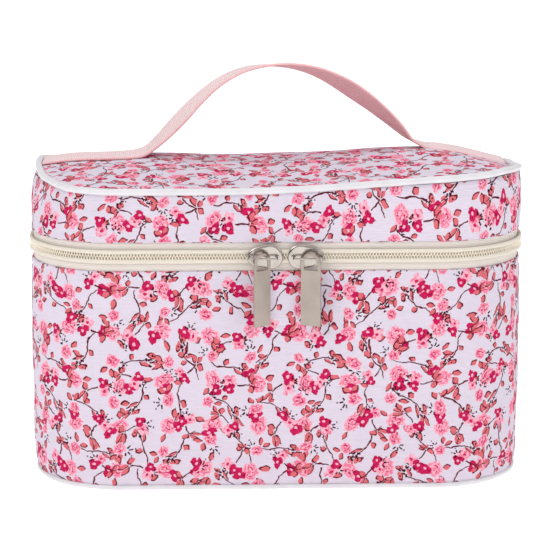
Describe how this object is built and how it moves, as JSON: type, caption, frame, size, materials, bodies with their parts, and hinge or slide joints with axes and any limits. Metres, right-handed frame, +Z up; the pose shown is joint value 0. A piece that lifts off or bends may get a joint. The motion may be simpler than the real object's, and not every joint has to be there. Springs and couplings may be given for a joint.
{
  "type": "makeup bag",
  "caption": "Soft-sided train-case makeup bag with a zip-round lid on a fabric hinge, piped edges, a ribbon arch handle on top and zip sliders with hanging metal pulls.",
  "frame": {"origin": "middle of the flat base, on the surface it rests on", "axes": "+Z up, +X along the width to the right as seen from the front, -Y out of the front with the zip sliders, +Y out of the back with the fabric hinge"},
  "size_m": [0.2274, 0.1603, 0.1857],
  "materials": {
    "printed_fabric": "woven polyester with a floral print",
    "piping_cover": "satin coated cloth",
    "piping_cord": "extruded cord",
    "zip_tape": "woven tape",
    "zip_coil": "moulded nylon",
    "slider_metal": "satin nickel",
    "pull_metal": "brushed nickel",
    "handle_ribbon": "grosgrain ribbon",
    "lining_cloth": "plain woven lining",
    "binding_tape": "folded binding",
    "foam": "closed-cell foam sheet",
    "board": "plain sheet"
  },
  "bodies": {
    "base": {"body_outer_panel": "printed_fabric", "back_outer_panel": "printed_fabric", "body_foam": "foam", "body_lining": "lining_cloth", "body_rim_binding": "binding_tape", "base_seam_binding": "binding_tape", "base_outer_panel": "printed_fabric", "base_board": "board", "base_foam": "foam", "base_lining": "lining_cloth", "bottom_piping": "piping_cover", "bottom_piping_cord": "piping_cord", "lower_zipper_tape": "zip_tape", "lower_coil": "zip_coil", "hinge_outer_strip": "printed_fabric", "hinge_lining_strip": "lining_cloth"},
    "lid": {"lid_outer_band": "printed_fabric", "lid_back_panel": "printed_fabric", "lid_foam_band": "foam", "lid_lining": "lining_cloth", "lid_rim_binding": "binding_tape", "lid_seam_binding": "binding_tape", "upper_zipper_tape": "zip_tape", "upper_coil": "zip_coil", "top_piping": "piping_cover", "top_piping_cord": "piping_cord", "lid_top_panel": "printed_fabric", "lid_top_foam": "foam", "lid_top_lining": "lining_cloth", "handle_end_left": "handle_ribbon", "handle_end_right": "handle_ribbon"},
    "handle": {"handle_strap": "handle_ribbon"},
    "left_slider": {"slider_left": "slider_metal", "slider_bail_left": "slider_metal"},
    "right_slider": {"slider_right": "slider_metal", "slider_bail_right": "slider_metal"},
    "left_pull": {"pull_tab_left": "pull_metal"},
    "right_pull": {"pull_tab_right": "pull_metal"}
  },
  "joints": [
    {"name": "lid_hinge", "type": "hinge", "parent": "base", "child": "lid", "pos_m": [0, 0.075, 0.1082], "axis": [-1, 0, 0], "range_deg": [0, 110]},
    {"name": "handle_swing", "type": "hinge", "parent": "lid", "child": "handle", "pos_m": [0, 0, 0.15316], "axis": [1, 0, 0], "range_deg": [-70, 70], "stiffness_Nm_per_rad": 0.01},
    {"name": "left_slider_travel", "type": "slide", "parent": "base", "child": "left_slider", "axis": [-1, 0, 0], "range_m": [0, 0.048]},
    {"name": "right_slider_travel", "type": "slide", "parent": "base", "child": "right_slider", "axis": [1, 0, 0], "range_m": [0, 0.048]},
    {"name": "left_pull_swing", "type": "hinge", "parent": "left_slider", "child": "left_pull", "pos_m": [-0.0075, -0.0816, 0.1082], "axis": [-1, 0, 0], "range_deg": [0, 150]},
    {"name": "right_pull_swing", "type": "hinge", "parent": "right_slider", "child": "right_pull", "pos_m": [0.0141, -0.0816, 0.1082], "axis": [-1, 0, 0], "range_deg": [0, 150]}
  ]
}
